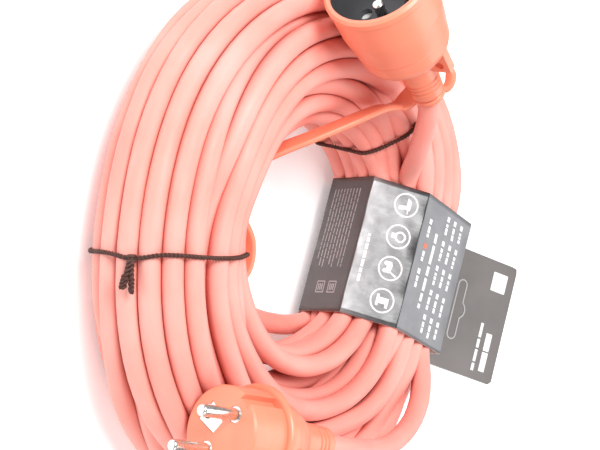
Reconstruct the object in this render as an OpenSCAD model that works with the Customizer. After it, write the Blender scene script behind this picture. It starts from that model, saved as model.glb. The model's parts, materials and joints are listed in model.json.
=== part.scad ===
// Coiled rubber extension cord: plug, socket, strap, ties and card sleeve.
// Millimetres, +Z up. The coil lies flat on z = 0, with its axis on the Z axis.

/* [Cable and coil] */
// Diameter of the three-core rubber cable
cable_d = 9; // [8.6:0.1:9.6]
// Radius of the coil at the middle of its turns
coil_r = 79; // [72:1:90]
// Half the width of the bundle of turns
coil_half_w = 33; // [30:0.5:36]
// Height of the bundle of turns
coil_h = 56; // [48:1:60]

/* [Plug] */
// Diameter of a contact pin
pin_d = 4.8; // [4:0.1:5]
// Length of a pin in front of the plug's face
pin_len = 19; // [16:0.5:22]
// Distance between the two pins
pin_pitch = 19; // [18:0.5:20]
// Distance of the earth pin from the line of the two pins
earth_offset = 10.3; // [9:0.1:10.6]
// Radius of the plug's front part
plug_front_r = 18; // [17.5:0.1:18.8]
// Length of the plug's front part
plug_front_len = 18; // [16:0.5:22]
// Radius of the plug's flange
plug_flange_r = 20.5; // [19.5:0.1:24]
// Length of the grip behind the flange
plug_grip_len = 20; // [18:1:28]
// Length of each strain relief
relief_len = 20; // [20:1:28]

/* [Socket] */
// Outer radius of the socket's barrel
barrel_r = 22; // [21.8:0.1:25]
// Length of the barrel
barrel_len = 34; // [33:1:42]
// Radius of the socket's well
well_r = 19.7; // [19.2:0.1:20.2]
// Depth of the socket's well
well_depth = 15; // [13:0.5:17]
// Travel of the safety shutter
shutter_travel = 6.4; // [6.2:0.1:7]

/* [Card sleeve] */
// Length of the sleeve along the bundle
sleeve_len = 63; // [55:1:70]
// Thickness of the card
card_t = 0.6; // [0.5:0.1:0.8]
// Width of the hang tab
tab_w = 60; // [50:1:66]
// Length of the hang tab
tab_len = 68; // [60:1:75]
// Width of the hanging slot
slot_w = 30; // [28:1:34]

/* [Strap and ties] */
// Width of the rubber strap
strap_w = 9; // [7:0.5:10]
// Thickness of the rubber strap
strap_t = 2; // [1.6:0.1:2.4]
// Width of a twist tie
tie_w = 2.2; // [1.6:0.1:3]
// Thickness of a twist tie
tie_t = 1.2; // [0.8:0.1:1.6]

/* [Hidden] */

ORANGE = [0.98, 0.52, 0.40];
ORANGE_DEEP = [0.96, 0.42, 0.26];
DARK_GREY = [0.25, 0.25, 0.26];
METAL = [0.85, 0.85, 0.83];
BRASS = [0.80, 0.64, 0.32];
WHITE = [0.92, 0.92, 0.90];
BROWN = [0.40, 0.22, 0.12];
BLUE = [0.15, 0.35, 0.75];
GREEN = [0.35, 0.65, 0.20];
CARD = [0.22, 0.21, 0.20];

$fn = 64;
fit_gap = 0.15;       // gap between pieces of one moulding
loose_gap = 0.3;      // gap between separate pieces
core_d = 2.9;         // insulated core
cable_r = cable_d / 2;

// Where the connectors lie: centre of the face or rim, heading and tilt of the axis, and roll about it
plug_at = [70.3, -81.6, 66];
plug_turn = [0, 86, 84.8];
plug_roll = -51;
socket_at = [-109.3, -33, 81.5];
socket_turn = [0, 96.3, 57.6];
socket_roll = -25;

// Coil: an oval section with a flat underside
coil_steps = 24;
function coil_edge(a) = [coil_r + coil_half_w * cos(a), coil_h / 2 * (1 + sin(a) / cos(180 / coil_steps))];
coil_profile = [for (i = [0 : coil_steps - 1])
    let (p = coil_edge((i + 0.5) * 360 / coil_steps)) [p[0], min(coil_h, max(0, p[1]))]];

// Sleeve: its frame is turned about Z, X runs along the bundle and Y outwards
sleeve_turn = -14.6;
sleeve_mid = -15.7;
// Outline of the folded card, from the inner lower fold round to the outer lower fold
sleeve_outline = [
    [coil_r - 38, 9], [coil_r - 46, 36.5], [coil_r - 26.5, coil_h - 1], [coil_r + 17, coil_h - 3.5],
    [coil_r + 22, 13], [coil_r + 17, 0.8], [coil_r - 27, 0.8]
];
tab_fold = sleeve_outline[4];
tab_rise = 23;
tab_t = 2 * card_t;
slot_at = 39;          // middle of the hanging slot, from the tab's fold
slot_h = 5;
slot_bump_r = 4.6;

// Strain reliefs taper to the cable and have three grooves
relief_root_r = 8.6;
relief_tip_r = 6.8;
groove_pitch = 2.6;
groove_w = 1.2;
groove_depth = 0.5;

// Plug, along its own Z from the face to the cable
plug_flange_len = 4;
grip_start = plug_front_len + plug_flange_len;
plug_relief_start = grip_start + plug_grip_len;
plug_len = plug_relief_start + relief_len;
cavity_r = 14.2;
cavity_start = 2.5;
cavity_end = plug_front_len + 1;
wire_room_r = 7.5;
wire_room_end = plug_relief_start - 2;
bridge_t = 7;
pin_collar_r = 3.1;
crimp_len = 5;
crimp_r = 2.1;
notch_w = 5.4;
notch_depth = 2.6;
clip_w = 5;
clip_t = 0.8;
plug_grip_r = 15.5;
// The earth receptacle's window, about the receptacle's own centre
earth_outline = [[-5, 1.6], [5, 1.6], [3.2, -8.2], [-3.2, -8.2]];
receptacle_r = 3.2;
receptacle_len = cavity_start + bridge_t;
// Crimp barrels stand in a triangle about the axis, on flat links
crimp_at = 4.8;
link_t = 1;
plug_crimp_z = cavity_start + bridge_t + 2.2;
plug_core_start = plug_crimp_z + link_t + 0.2;

// Socket, along its own Z from the rim to the cable
insert_floor = 2.5;
insert_back = well_depth + insert_floor;
insert_r = barrel_r - 1.5;
shutter_t = 3;
shutter_room = shutter_t + 0.6;
carrier_start = insert_back + shutter_room;
carrier_len = 9;
carrier_r = 16.5;
chamber_r = carrier_r + fit_gap;
shoulder_len = 9;
neck_start = barrel_len + shoulder_len;
neck_r = 10.5;
neck_len = 4;
socket_relief_start = neck_start + neck_len;
socket_len = socket_relief_start + relief_len;
contact_hole_r = pin_d / 2 + 0.35;
contact_bore_r = pin_d / 2 + 0.08;
contact_sleeve_r = 3.5;
contact_sleeve_len = carrier_len + 1;
earth_pin_proud = well_depth - 1;
shutter_half_w = pin_pitch / 2 + contact_hole_r + 0.35;
shutter_half_h = shutter_travel - contact_hole_r - 0.25;    // so the open shutter clears the contact holes
spring_r = 1.1;
spring_wire_d = 0.5;
spring_turns = 8;
rim_lip = 1.5;
socket_wire_r = 8.4;
socket_wire_end = socket_relief_start - 1;
link_room_r = 11.4;    // behind the carrier, for the flat links
seam_r = barrel_r - 2.2;    // the barrel narrows to a seam before its shoulder
lug_t = 4;
lug_reach = 17.5;
lug_len = 13.5;
lug_eye_r = 2.2;
lug_eye_z = neck_start + 3.5;
earth_collar_r = pin_d / 2 + 0.5;
shutter_z = insert_back + 0.3;
spring_slot_w = 3.8;
spring_seat_y = -2.2;
socket_crimp_z = carrier_start + carrier_len + 1.2;
socket_core_start = socket_crimp_z + link_t + 0.2;

// Strap ring round the cable, and the two ties
strap_ring_t = 2.6;
strap_ring_r = 7;
tie_near_at = -86;
tie_far_at = 143;
tie_angle = tie_w / coil_r * 180 / PI;

// Routes of the loose ends of the cable, from inside each strain relief to the turns in the sleeve
tail_socket_route = [
    [-84.2, 6.6, 76.3], [-79, 14.7, 75.3], [-73.6, 23.2, 74], [-66.5, 30, 71.6], [-59, 35.5, 66.8],
    [-51.5, 42, 60.4], [-45, 49, 54.3], [-39, 56, 48.5], [-29, 62, 43], [-18, 66, 41]
];
tail_plug_route = [
    [74, -40.9, 68.9], [75.1, -29, 69.7], [75.9, -20, 70.4], [76.9, -10, 71], [77.7, -1, 71.2], [79, 14, 69.5],
    [79, 30, 66.5], [75, 45, 64], [68, 60, 61.5], [58, 71.5, 58.5], [47, 79.5, 53.5], [35, 83.5, 46.5],
    [22, 85.5, 43], [10, 86, 42]
];
// Route of the strap, from under its ring across the eye of the coil to the near turns. Each point after the
// first is an azimuth, a distance in from the coil's inner wall, and a height.
strap_start = socket_at + (socket_len + loose_gap + strap_ring_t / 2) * [
    sin(socket_turn[1]) * cos(socket_turn[2]), sin(socket_turn[1]) * sin(socket_turn[2]), cos(socket_turn[1])];
strap_points = [
    [161.1, -24.8, 60.5], [167.8, -20, 58], [174.8, -14.7, 55.5], [183.1, -9.1, 50], [193.9, -4, 42],
    [205.5, -0.5, 32.5], [218.2, 1.5, 24.5], [233.4, 2.4, 21], [248.7, 7.4, 25], [266.4, 14.4, 29],
    [287.6, 13, 28], [295.3, 4, 23], [294.6, -6.8, 18]
];
strap_route = concat([strap_start + [-0.4, -0.6, 1.5 - strap_ring_r]],
    [for (p = strap_points) let (r = coil_r - coil_half_w - p[1]) [r * cos(p[0]), r * sin(p[0]), p[2]]]);

// ---- Sweeps ----

function unit(v) = v / norm(v);
function spline_point(a, b, c, d, t) =
    0.5 * (2 * b + (c - a) * t + (2 * a - 5 * b + 4 * c - d) * t * t + (3 * b - a - 3 * c + d) * t * t * t);
function clamp_index(i, n) = min(max(i, 0), n - 1);
// A smooth line through the points, with a number of steps between neighbours
function smooth(p, steps) = let (n = len(p)) concat(
    [for (i = [0 : n - 2], s = [0 : steps - 1])
        spline_point(p[clamp_index(i - 1, n)], p[i], p[i + 1], p[clamp_index(i + 2, n)], s / steps)],
    [p[n - 1]]);
function heading(p, i) = unit(p[clamp_index(i + 1, len(p))] - p[clamp_index(i - 1, len(p))]);

// Sweeps a closed section, given as [across, up] points, along a line that never runs along the upright
module sweep(line, section, upright = [0, 0, 1]) {
    m = len(section);
    n = len(line);
    points = [for (i = [0 : n - 1])
        let (ahead = heading(line, i), across = unit(cross(upright, ahead)), up = cross(ahead, across))
        for (s = section) line[i] + s[0] * across + s[1] * up];
    sides = [for (i = [0 : n - 2], k = [0 : m - 1])
        let (k2 = (k + 1) % m) each [[i * m + k, (i + 1) * m + k, (i + 1) * m + k2],
            [i * m + k, (i + 1) * m + k2, i * m + k2]]];
    ends = [[for (k = [0 : m - 1]) k], [for (k = [m - 1 : -1 : 0]) (n - 1) * m + k]];
    polyhedron(points, concat(sides, ends), convexity = 6);
}
function round_section(r, sides) = [for (k = [0 : sides - 1]) r * [cos(360 * k / sides), sin(360 * k / sides)]];
module tube(line, r, sides = 10, upright = [0, 0, 1]) sweep(line, round_section(r, sides), upright);

// ---- Frames ----

module at_plug() translate(plug_at) rotate(plug_turn) rotate([0, 0, plug_roll]) children();
module at_socket() translate(socket_at) rotate(socket_turn) rotate([0, 0, socket_roll]) children();
module at_sleeve() rotate([0, 0, sleeve_turn]) translate([sleeve_mid, 0, 0]) children();
// Turns an extrusion so that its outline's X runs outwards, its Y up and its length along the bundle
module along_bundle(length) rotate([90, 0, 90]) linear_extrude(height = length, center = true) children();
module at_pins() for (side = [-1, 1]) translate([side * pin_pitch / 2, 0, 0]) children();

// A point moved inwards from a convex outline's corner by the given depth
function inset_corner(p, i, depth) = let (
    n = len(p), a = p[(i + n - 1) % n], b = p[i], c = p[(i + 1) % n],
    u = unit(b - a), v = unit(c - b), bisector = unit(v - u), s = abs(u[0] * v[1] - u[1] * v[0]))
    b + bisector * depth * norm(v - u) / s;
function inset(p, depth) = [for (i = [0 : len(p) - 1]) inset_corner(p, i, depth)];

// ---- Cable ----

module cable_coil() color(ORANGE) {
    difference() {
        rotate_extrude($fn = 96) polygon(coil_profile);
        // the sleeve gathers the turns here
        at_sleeve() translate([-sleeve_len / 2 - loose_gap, 0, -1])
            cube([sleeve_len + 2 * loose_gap, 2 * coil_r, coil_h + 2]);
        plug_room();
        socket_room();
        tie_band(tie_near_at, 0.1);
        tie_band(tie_far_at, 0.1);
    }
    at_sleeve() along_bundle(sleeve_len + 4) polygon(inset(sleeve_outline, card_t + fit_gap));
}
module plug_room() at_plug() {
    translate([0, 0, -pin_len - 2]) cylinder(r = plug_flange_r + loose_gap, h = pin_len + 2 + grip_start + 1);
    cylinder(r = plug_grip_r + 1 + loose_gap, h = plug_len);
}
module socket_room() at_socket() translate([0, 0, -2]) cylinder(r = barrel_r + 1, h = neck_start + 2);
module cable_tail_socket() color(ORANGE) tube(smooth(tail_socket_route, 2), cable_r);
module cable_tail_plug() color(ORANGE) tube(smooth(tail_plug_route, 2), cable_r);

// ---- Plug ----

// Half outline of the moulding, from the face to the cable
plug_outline = concat(
    [[0, 0], [plug_front_r - 0.8, 0], [plug_front_r, 0.8], [plug_front_r, plug_front_len]],
    [for (a = [0 : 15 : 90]) [plug_flange_r - 2 + 2 * sin(a), plug_front_len + 2 - 2 * cos(a)]],
    [[plug_flange_r - 0.6, grip_start - 1], [plug_grip_r + 1, grip_start + 1], [plug_grip_r, grip_start + 3]],
    [for (t = [0.25 : 0.25 : 1]) [plug_grip_r - 5.5 * t * t, grip_start + 3 + (plug_grip_len - 3) * t]],
    relief_edge(plug_relief_start),
    [[0, plug_len]]);
// The tapered strain relief with its three grooves
function relief_r(z, start) = relief_root_r - (relief_root_r - relief_tip_r) * (z - start) / relief_len;
function relief_edge(start) = concat(
    [[relief_root_r, start]],
    [for (k = [0 : 2]) let (z = start + 9 + groove_pitch * k) each [
        [relief_r(z, start), z], [relief_r(z, start) - groove_depth, z + 0.3],
        [relief_r(z, start) - groove_depth, z + groove_w - 0.3], [relief_r(z, start), z + groove_w]]],
    [[relief_tip_r + 0.3, start + relief_len - 1], [relief_tip_r - 0.7, start + relief_len]]);

module plug_body() color(ORANGE_DEEP) at_plug() difference() {
    rotate_extrude() polygon(plug_outline);
    // bore for the cable, and the rooms that the bridge and the cores fill
    translate([0, 0, wire_room_end]) cylinder(r = cable_r + fit_gap, h = plug_len);
    translate([0, 0, cavity_start]) cylinder(r = cavity_r, h = cavity_end - cavity_start);
    translate([0, 0, cavity_start]) cylinder(r = wire_room_r, h = wire_room_end - cavity_start + 1);
    at_pins() translate([0, 0, -1]) cylinder(r = pin_collar_r + fit_gap, h = cavity_start + 2);
    translate([0, 0, -1]) earth_window(cavity_start + 2);
    translate([0, earth_offset, -1]) cylinder(r = receptacle_r + fit_gap, h = cavity_start + 2);
    // guide notches beside the pins, and the seats of the side contacts
    for (side = [-1, 1]) {
        translate([side * (plug_front_r - notch_depth) - (side < 0 ? 6 : 0), -notch_w / 2, -1])
            cube([6, notch_w, plug_front_len + 1]);
        translate([-clip_w / 2 - fit_gap, side * (plug_front_r - 2) - (side < 0 ? 4 : 0), 1.5])
            cube([clip_w + 2 * fit_gap, 4, plug_front_len - 1.5]);
        // finger hollows in the grip
        translate([0, side * (plug_grip_r + 6), grip_start + plug_grip_len / 2]) rotate([0, 90, 0])
            cylinder(r = 9, h = 40, center = true);
    }
}
// The window in the face through which the earth receptacle shows
module earth_window(depth, gap = 0) translate([0, earth_offset, 0]) linear_extrude(height = depth)
    polygon(inset(earth_outline, gap));

module plug_bridge() color(WHITE) at_plug() difference() {
    translate([0, 0, cavity_start + fit_gap]) cylinder(r = cavity_r - fit_gap, h = bridge_t);
    at_pins() cylinder(r = pin_collar_r + fit_gap, h = 20);
    earth_window(cavity_start + 1);
    translate([0, earth_offset, 0]) cylinder(r = receptacle_r + fit_gap, h = 20);
}
// Half outline of a pin: domed tip, shank, collar and crimp barrel
pin_outline = concat(
    [for (a = [0 : 15 : 90]) [pin_d / 2 - 1.2 + 1.2 * sin(a), -pin_len + 1.2 - 1.2 * cos(a)]],
    [[pin_d / 2, 0.3], [pin_collar_r, 0.3], [pin_collar_r, cavity_start + bridge_t + 1],
     [crimp_r - 0.2, cavity_start + bridge_t + 1], [crimp_r - 0.2, cavity_start + bridge_t + 2],
     [0, cavity_start + bridge_t + 2], [0, -pin_len]]);
module plug_pin(side) color(METAL) at_plug() translate([side * pin_pitch / 2, 0, 0])
    rotate_extrude() polygon(pin_outline);
module plug_pin_line() plug_pin(1);
module plug_pin_neutral() plug_pin(-1);

module plug_earth_receptacle() color(METAL) at_plug() difference() {
    union() {
        translate([0, 0, 0.4]) earth_window(1.2, fit_gap);
        translate([0, earth_offset, 0.4]) cylinder(r = receptacle_r, h = receptacle_len);
    }
    translate([0, earth_offset, -1]) cylinder(r = contact_bore_r, h = receptacle_len);
}
// Spring clips at the two flat sides, each with its rail into the body
module plug_earth_clips() color(METAL) at_plug() for (side = [-1, 1])
    translate([-clip_w / 2, side * (plug_front_r - 2) + (side < 0 ? -clip_t - fit_gap : fit_gap), 2])
        difference() {
            cube([clip_w, clip_t, plug_front_len - 2.6]);
            translate([clip_w / 2 - 0.5, -1, 3]) cube([1, 3, 8]);
        }
// A crimp barrel on the end of a core
module crimp() difference() {
    cylinder(r = crimp_r, h = crimp_len);
    translate([0, 0, -1]) cylinder(r = core_d / 2 + 0.05, h = crimp_len + 2);
}
// Crimp barrels of line, neutral and earth, each on the flat link that leads out to its contact
module crimp_set(z, earth_side) translate([0, 0, z]) {
    for (place = [[crimp_at, 0], [-crimp_at, 0], [0, earth_side * crimp_at]])
        translate([place[0], place[1], link_t]) crimp();
    for (side = [-1, 1]) translate([side * 7 - 4, -1.2, 0]) cube([8, 2.4, link_t]);
    translate([-1.2, earth_side * 7.2 - 3.8, 0]) cube([2.4, 7.6, link_t]);
}
// A core from its crimp to the end of the cable's sheath, where the three lie together
module core(place, z_start, z_end) {
    near = [place[0], place[1], 0];
    z_bend = z_start + crimp_len + 0.8;
    tube([near + [0, 0, z_start], near + [0, 0, z_bend], near * 0.7 + [0, 0, (z_bend + z_end) / 2],
        near * 0.42 + [0, 0, z_end - 1], near * 0.42 + [0, 0, z_end]], core_d / 2 - 0.1, 12, [0, 1, 0]);
}
module plug_crimps() color(BRASS) at_plug() crimp_set(plug_crimp_z, 1);
module plug_core_brown() color(BROWN) at_plug() core([crimp_at, 0], plug_core_start, wire_room_end);
module plug_core_blue() color(BLUE) at_plug() core([-crimp_at, 0], plug_core_start, wire_room_end);
module plug_core_green_yellow() color(GREEN) at_plug() core([0, crimp_at], plug_core_start, wire_room_end);

// ---- Socket ----

// Half outline of the moulding, from the rim to the cable
socket_outline = concat(
    [[0, 0], [barrel_r - 0.6, 0], [barrel_r + 0.4, 1], [barrel_r + 0.4, 3.4], [barrel_r, 4],
     [barrel_r - 0.3, insert_back], [seam_r + 0.2, barrel_len - 4.4], [seam_r - 0.3, barrel_len - 4],
     [seam_r, barrel_len - 3.6]],
    [for (a = [0 : 15 : 90]) [neck_r + (seam_r - 0.5 - neck_r) * cos(a), barrel_len + shoulder_len * sin(a)]],
    [[neck_r, socket_relief_start - 1.5], [neck_r - 1, socket_relief_start]],
    relief_edge(socket_relief_start),
    [[0, socket_len]]);
module socket_body() color(ORANGE_DEEP) at_socket() difference() {
    union() {
        rotate_extrude() polygon(socket_outline);
        hanging_lug();
    }
    translate([0, 0, -1]) cylinder(r = well_r + fit_gap, h = rim_lip + 2);
    translate([0, 0, rim_lip]) cylinder(r = insert_r + fit_gap, h = insert_back - rim_lip);
    cylinder(r = chamber_r, h = carrier_start + carrier_len + 1);
    cylinder(r = socket_wire_r, h = socket_wire_end);
    translate([0, 0, carrier_start]) cylinder(r = link_room_r, h = carrier_len + 2.6);
    cylinder(r = cable_r + fit_gap, h = socket_len + 1);
}
// A flat lug with an eye, on the upper side of the neck
module hanging_lug() rotate([0, 0, 180 - socket_roll]) difference() {
    translate([neck_r - 2, -lug_t / 2, lug_eye_z + 4 - lug_len]) cube([lug_reach - neck_r + 2, lug_t, lug_len]);
    translate([lug_reach - 4.5, 0, lug_eye_z]) rotate([90, 0, 0]) cylinder(r = lug_eye_r, h = 2 * lug_t, center = true);
}
module socket_insert() color(DARK_GREY) at_socket() difference() {
    translate([0, 0, rim_lip]) cylinder(r = insert_r, h = insert_back - rim_lip);
    translate([0, 0, -1]) cylinder(r = well_r, h = well_depth + 1);
    at_pins() cylinder(r = contact_hole_r, h = 30);
    translate([0, -earth_offset, 0]) cylinder(r = earth_collar_r + fit_gap, h = 30);
}
module socket_carrier() color(WHITE) at_socket() difference() {
    translate([0, 0, carrier_start]) cylinder(r = carrier_r, h = carrier_len);
    at_pins() translate([0, 0, carrier_start - 1]) cylinder(r = contact_sleeve_r + fit_gap, h = carrier_len + 2);
    translate([0, -earth_offset, carrier_start - 1]) cylinder(r = earth_collar_r + fit_gap, h = carrier_len + 2);
}
module contact_sleeve(side) color(BRASS) at_socket() translate([side * pin_pitch / 2, 0, carrier_start + 0.2])
    difference() {
        cylinder(r = contact_sleeve_r, h = contact_sleeve_len - 0.4);
        translate([0, 0, -1]) cylinder(r = contact_bore_r, h = contact_sleeve_len - 1);
    }
module socket_sleeve_line() contact_sleeve(-1);
module socket_sleeve_neutral() contact_sleeve(1);
// The earth pin stands in the well and runs back, thicker, through the insert's floor and the carrier
earth_pin_outline = concat(
    [for (a = [0 : 15 : 90]) [pin_d / 2 - 1.2 + 1.2 * sin(a), well_depth - earth_pin_proud + 1.2 - 1.2 * cos(a)]],
    [[pin_d / 2, well_depth - 0.5], [earth_collar_r, well_depth - 0.5],
     [earth_collar_r, carrier_start + carrier_len], [0, carrier_start + carrier_len],
     [0, well_depth - earth_pin_proud]]);
module socket_earth_pin() color(METAL) at_socket() translate([0, -earth_offset, 0])
    rotate_extrude() polygon(earth_pin_outline);

// The shutter lies behind the two contact holes and slides away from the earth pin to open them
module socket_shutter() color(WHITE) at_socket() difference() {
    translate([-shutter_half_w, -shutter_half_h, shutter_z])
        cube([2 * shutter_half_w, 2 * shutter_half_h, shutter_t]);
    translate([-spring_slot_w / 2, spring_seat_y, shutter_z - 1]) cube([spring_slot_w, 10, shutter_t + 2]);
}
// Helical spring from the shutter to the wall of its chamber
spring_end_y = chamber_r - 0.4;
spring_line = [for (i = [0 : 8 * spring_turns]) let (a = 45 * i, t = i / (8 * spring_turns))
    [spring_r * cos(a), spring_seat_y + 0.4 + t * (spring_end_y - spring_seat_y - 0.8), spring_r * sin(a)]];
module shutter_spring() color(METAL) at_socket() translate([0, 0, shutter_z + shutter_t / 2])
    tube(spring_line, spring_wire_d / 2, 6, [0, 1, 0]);

module socket_crimps() color(BRASS) at_socket() crimp_set(socket_crimp_z, -1);
module socket_core_brown() color(BROWN) at_socket() core([-crimp_at, 0], socket_core_start, socket_wire_end);
module socket_core_blue() color(BLUE) at_socket() core([crimp_at, 0], socket_core_start, socket_wire_end);
module socket_core_green_yellow() color(GREEN) at_socket()
    core([0, -crimp_at], socket_core_start, socket_wire_end);

// ---- Strap and ties ----

module strap() color(ORANGE_DEEP) {
    sweep(smooth(strap_route, 3), [[-strap_t / 2, -strap_w / 2], [strap_t / 2, -strap_w / 2],
        [strap_t / 2, strap_w / 2], [-strap_t / 2, strap_w / 2]]);
    at_socket() translate([0, 0, socket_len + loose_gap]) difference() {
        cylinder(r = strap_ring_r, h = strap_ring_t);
        translate([0, 0, -1]) cylinder(r = cable_r + loose_gap, h = strap_ring_t + 2);
    }
}
// A tie pinches the turns: it is sunk half its thickness into them, and clear of the ground
module oval_section(out) polygon([for (p = coil_profile)
    [p[0] + out * (p[0] - coil_r) / coil_half_w, max(0, coil_h / 2 + (p[1] - coil_h / 2) * (1 + 2 * out / coil_h))]]);
module tie_band(azimuth, spare) rotate([0, 0, azimuth - tie_angle / 2 - spare]) rotate_extrude(
    angle = tie_angle + 2 * spare, $fn = 96) difference() {
        oval_section(tie_t / 2 + spare);
        oval_section(-tie_t / 2 - spare);
    }
// Twisted ends of a tie, from a point on the bundle
module tie_ends(azimuth, place, ends) rotate([0, 0, azimuth]) translate(place)
    for (tip = ends) tube(smooth([[-1.2, 0, 0], tip * 0.4 + [1, 0, 1], tip * 0.75 + [1.5, 0, -0.5], tip], 2), 0.8, 8);
module tie_near() color(BROWN) {
    tie_band(tie_near_at, 0);
    tie_ends(tie_near_at, [coil_r + coil_half_w + tie_t / 2, 0, coil_h * 0.45], [[3, 11, 3], [3.5, 12, -2.5]]);
}
module tie_far() color(BROWN) {
    tie_band(tie_far_at, 0);
    tie_ends(tie_far_at, [coil_r - 4, 0, coil_h + tie_t / 2], [[2, 3.5, 1.2], [-2, -3.5, 1.2]]);
}

// ---- Card sleeve ----

module card_sleeve() color(CARD) at_sleeve() {
    along_bundle(sleeve_len) difference() {
        polygon(sleeve_outline);
        polygon(inset(sleeve_outline, card_t));
    }
    on_tab() difference() {
        translate([-tab_w / 2, -0.3, 0]) cube([tab_w, tab_len + 0.3, tab_t]);
        translate([0, slot_at, -1]) euro_slot(tab_t + 2, 0);
    }
}
// The tab's own frame: X along the bundle, Y out from the fold and Z through the card
module on_tab() translate([0, tab_fold[0], tab_fold[1]]) rotate([tab_rise, 0, 0]) children();
module euro_slot(height, gap) linear_extrude(height = height) {
    square([slot_w - 2 * gap, slot_h - 2 * gap], center = true);
    translate([0, slot_h / 2 - 1]) circle(r = slot_bump_r - gap);
}
// The card inside the perforated slot, which the hook pushes out
module slot_knockout() color(CARD) at_sleeve() on_tab() translate([0, slot_at, 0]) euro_slot(tab_t, loose_gap);

cable_coil();
cable_tail_socket();
cable_tail_plug();
plug_body();
plug_bridge();
plug_pin_line();
plug_pin_neutral();
plug_earth_receptacle();
plug_earth_clips();
plug_crimps();
plug_core_brown();
plug_core_blue();
plug_core_green_yellow();
socket_body();
socket_insert();
socket_carrier();
socket_sleeve_line();
socket_sleeve_neutral();
socket_earth_pin();
socket_shutter();
shutter_spring();
socket_crimps();
socket_core_brown();
socket_core_blue();
socket_core_green_yellow();
strap();
tie_near();
tie_far();
card_sleeve();
slot_knockout();
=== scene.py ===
import json
import math

import bpy
import numpy as np
from mathutils import Matrix, Vector


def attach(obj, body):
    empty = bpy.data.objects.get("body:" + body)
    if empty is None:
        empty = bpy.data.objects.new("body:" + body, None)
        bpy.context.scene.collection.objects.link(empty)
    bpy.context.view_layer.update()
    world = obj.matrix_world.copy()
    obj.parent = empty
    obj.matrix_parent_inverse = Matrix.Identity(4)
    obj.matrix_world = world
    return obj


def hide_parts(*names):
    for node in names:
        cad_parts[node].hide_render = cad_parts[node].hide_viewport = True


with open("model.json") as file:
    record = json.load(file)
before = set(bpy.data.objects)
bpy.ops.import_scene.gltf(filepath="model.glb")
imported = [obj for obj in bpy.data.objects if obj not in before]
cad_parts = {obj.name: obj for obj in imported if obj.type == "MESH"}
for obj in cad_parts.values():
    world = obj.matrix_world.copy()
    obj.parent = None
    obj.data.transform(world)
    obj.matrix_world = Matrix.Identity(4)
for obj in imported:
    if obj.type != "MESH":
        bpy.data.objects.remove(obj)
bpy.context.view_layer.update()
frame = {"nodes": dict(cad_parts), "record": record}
MM = 0.001

WORLD_LIGHT = 0.36

# ---------------------------------------------------------------- camera

CAMERA_PLACE = Vector((0.0, -0.6104, 0.4924))
CAMERA_AHEAD = Vector((-0.0154, 0.7981, -0.6023))
CAMERA_TOP = Vector((-0.9944, -0.0753, -0.0745))
FOCAL_LENGTH = 107.8


def make_camera():
    data = bpy.data.cameras.new("camera")
    data.sensor_width = 36.0
    data.lens = FOCAL_LENGTH
    data.clip_start, data.clip_end = 0.01, 20
    camera = bpy.data.objects.new("camera", data)
    bpy.context.scene.collection.objects.link(camera)
    ahead = CAMERA_AHEAD.normalized()
    right = ahead.cross(CAMERA_TOP).normalized()
    top = right.cross(ahead)
    place = Matrix((right, top, -ahead)).transposed().to_4x4()
    place.translation = CAMERA_PLACE
    camera.matrix_world = place
    bpy.context.scene.camera = camera


make_camera()

# ---------------------------------------------------------------- meshes


def mesh_object(name, verts, faces, uv=None, smooth=True):
    """verts in metres; uv gives one pair for each corner of each face."""
    data = bpy.data.meshes.new(name)
    data.from_pydata([tuple(v) for v in verts], [], [tuple(f) for f in faces])
    if uv is not None:
        layer = data.uv_layers.new(name="UVMap")
        layer.data.foreach_set("uv", np.asarray(uv, np.float32).ravel())
    data.polygons.foreach_set("use_smooth", [smooth] * len(data.polygons))
    data.update()
    obj = bpy.data.objects.new(name, data)
    bpy.context.scene.collection.objects.link(obj)
    return obj


def unit(v):
    v = np.asarray(v, float)
    return v / np.linalg.norm(v, axis=-1, keepdims=True)


def spline(points, steps):
    """A smooth line through the points, as in the CAD source."""
    p = np.array(points, float)
    n = len(p)
    line = []
    for i in range(n - 1):
        a, b, c, d = p[max(i - 1, 0)], p[i], p[i + 1], p[min(i + 2, n - 1)]
        for s in range(steps):
            t = s / steps
            line.append(0.5 * (2 * b + (c - a) * t + (2 * a - 5 * b + 4 * c - d) * t * t
                               + (3 * b - a - 3 * c + d) * t ** 3))
    line.append(p[-1])
    return np.array(line)


def headings(line, closed=False):
    if closed:
        return unit(np.roll(line, -1, 0) - np.roll(line, 1, 0))
    return unit(np.gradient(line, axis=0))


def carried_frames(line, start_up):
    """Across and up directions along a line, turned as little as possible."""
    ahead = headings(line)
    up = np.zeros_like(line)
    u = np.asarray(start_up, float)
    for i, a in enumerate(ahead):
        u = u - a * (u @ a)
        u /= np.linalg.norm(u)
        up[i] = u
    return np.cross(ahead, up), up


def level_frames(line, upright=(0, 0, 1), closed=False):
    ahead = headings(line, closed)
    across = unit(np.cross(np.asarray(upright, float), ahead))
    return across, np.cross(ahead, across)


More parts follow.
